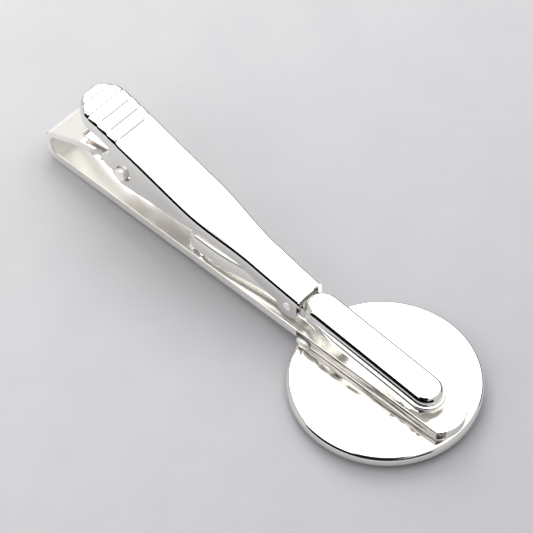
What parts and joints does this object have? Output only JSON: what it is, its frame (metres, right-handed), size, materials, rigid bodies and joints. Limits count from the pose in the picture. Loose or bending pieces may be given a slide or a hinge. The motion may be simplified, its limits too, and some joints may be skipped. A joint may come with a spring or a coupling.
{
  "type": "tie clip",
  "caption": "Tie clip lying face down: round stone tray soldered under a folded strip, with a sprung thumb lever carrying a toothed rocking jaw.",
  "frame": {"origin": "centre of the stone recess, on the plane of the tray's rim, which is the lowest plane with the clip face down", "axes": "+X along the strip, from the fold towards the strip's free end; +Z from the stone face to the back, where the lever is; Y across the strip"},
  "size_m": [0.056, 0.02, 0.0136],
  "materials": {
    "plated_brass": "polished silver plate on stamped brass",
    "plated_steel": "polished silver plate on stamped strip",
    "pin_steel": "plated wire pin",
    "solder": "plated solder",
    "spring_steel": "plated spring strip"
  },
  "bodies": {
    "clip_back": {"tray": "plated_brass", "solder_joint": "solder", "back_strip": "plated_steel", "hinge_pin": "pin_steel", "leaf_spring": "spring_steel"},
    "lever": {"thumb_lever": "plated_steel", "jaw_rivet": "pin_steel"},
    "jaw": {"rocker_jaw": "plated_steel"}
  },
  "joints": [
    {"name": "lever_hinge", "type": "hinge", "parent": "clip_back", "child": "lever", "pos_m": [-0.0338, 0, 0.0083], "axis": [0, -1, 0], "range_deg": [0, 22], "stiffness_Nm_per_rad": 0.08, "springref_deg": -22.92, "deforming": ["leaf_spring"]},
    {"name": "jaw_rock", "type": "hinge", "parent": "lever", "child": "jaw", "pos_m": [-0.0117, 0, 0.0046], "axis": [0, 1, 0], "range_deg": [0, 11]}
  ],
  "couplings": [
    {"joint": "jaw_rock", "follows": "lever_hinge", "ratio": 0.5}
  ]
}
